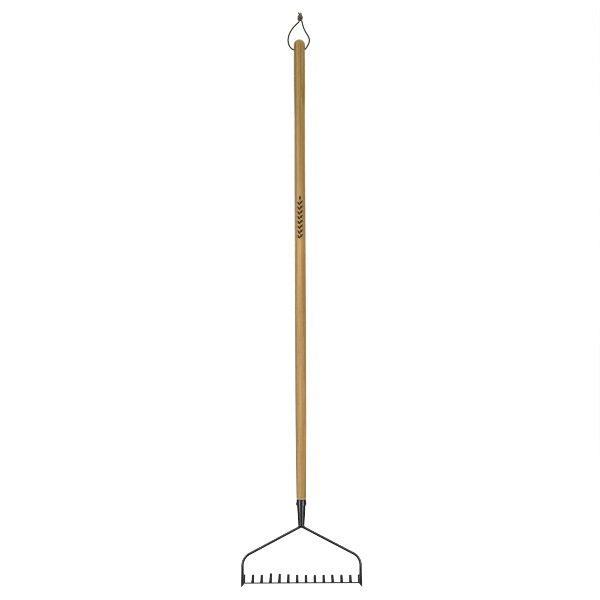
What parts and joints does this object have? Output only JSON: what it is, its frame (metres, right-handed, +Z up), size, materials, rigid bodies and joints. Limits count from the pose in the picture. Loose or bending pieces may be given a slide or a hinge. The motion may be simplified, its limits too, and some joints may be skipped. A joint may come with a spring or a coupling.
{
  "type": "bow rake",
  "caption": "Long-handled bow rake: turned wooden handle with a cord loop, riveted steel socket, bent rod bow and a head bar with curved tines.",
  "frame": {"origin": "centre of the head bar's flat underside", "axes": "+Z up the handle, +X to the rake's right along the bar, +Y the way the tines point; the handle's axis stands at Y = -7 mm"},
  "size_m": [0.3464, 0.0918, 1.6388],
  "materials": {
    "ash_wood": "ash, turned and sanded, thin satin varnish, straight grain along the handle",
    "black_steel": "carbon steel under a black to graphite semi-gloss coating",
    "leather_cord": "round dark brown leather lace, matt"
  },
  "bodies": {
    "rake": {"handle": "ash_wood", "socket": "black_steel", "collar_ring": "black_steel", "socket_rivet": "black_steel", "neck_weld": "black_steel", "bow": "black_steel", "head_bar": "black_steel", "tine_01": "black_steel", "tine_02": "black_steel", "tine_03": "black_steel", "tine_04": "black_steel", "tine_05": "black_steel", "tine_06": "black_steel", "tine_07": "black_steel", "tine_08": "black_steel", "tine_09": "black_steel", "tine_10": "black_steel", "tine_11": "black_steel", "tine_12": "black_steel", "tine_13": "black_steel", "tine_14": "black_steel"},
    "cord_loop": {"hanging_cord": "leather_cord"}
  },
  "joints": [
    {"name": "loop_swing", "type": "hinge", "parent": "rake", "child": "cord_loop", "pos_m": [0, -0.007, 1.521], "axis": [1, 0, 0], "range_deg": [-160, 160]}
  ]
}
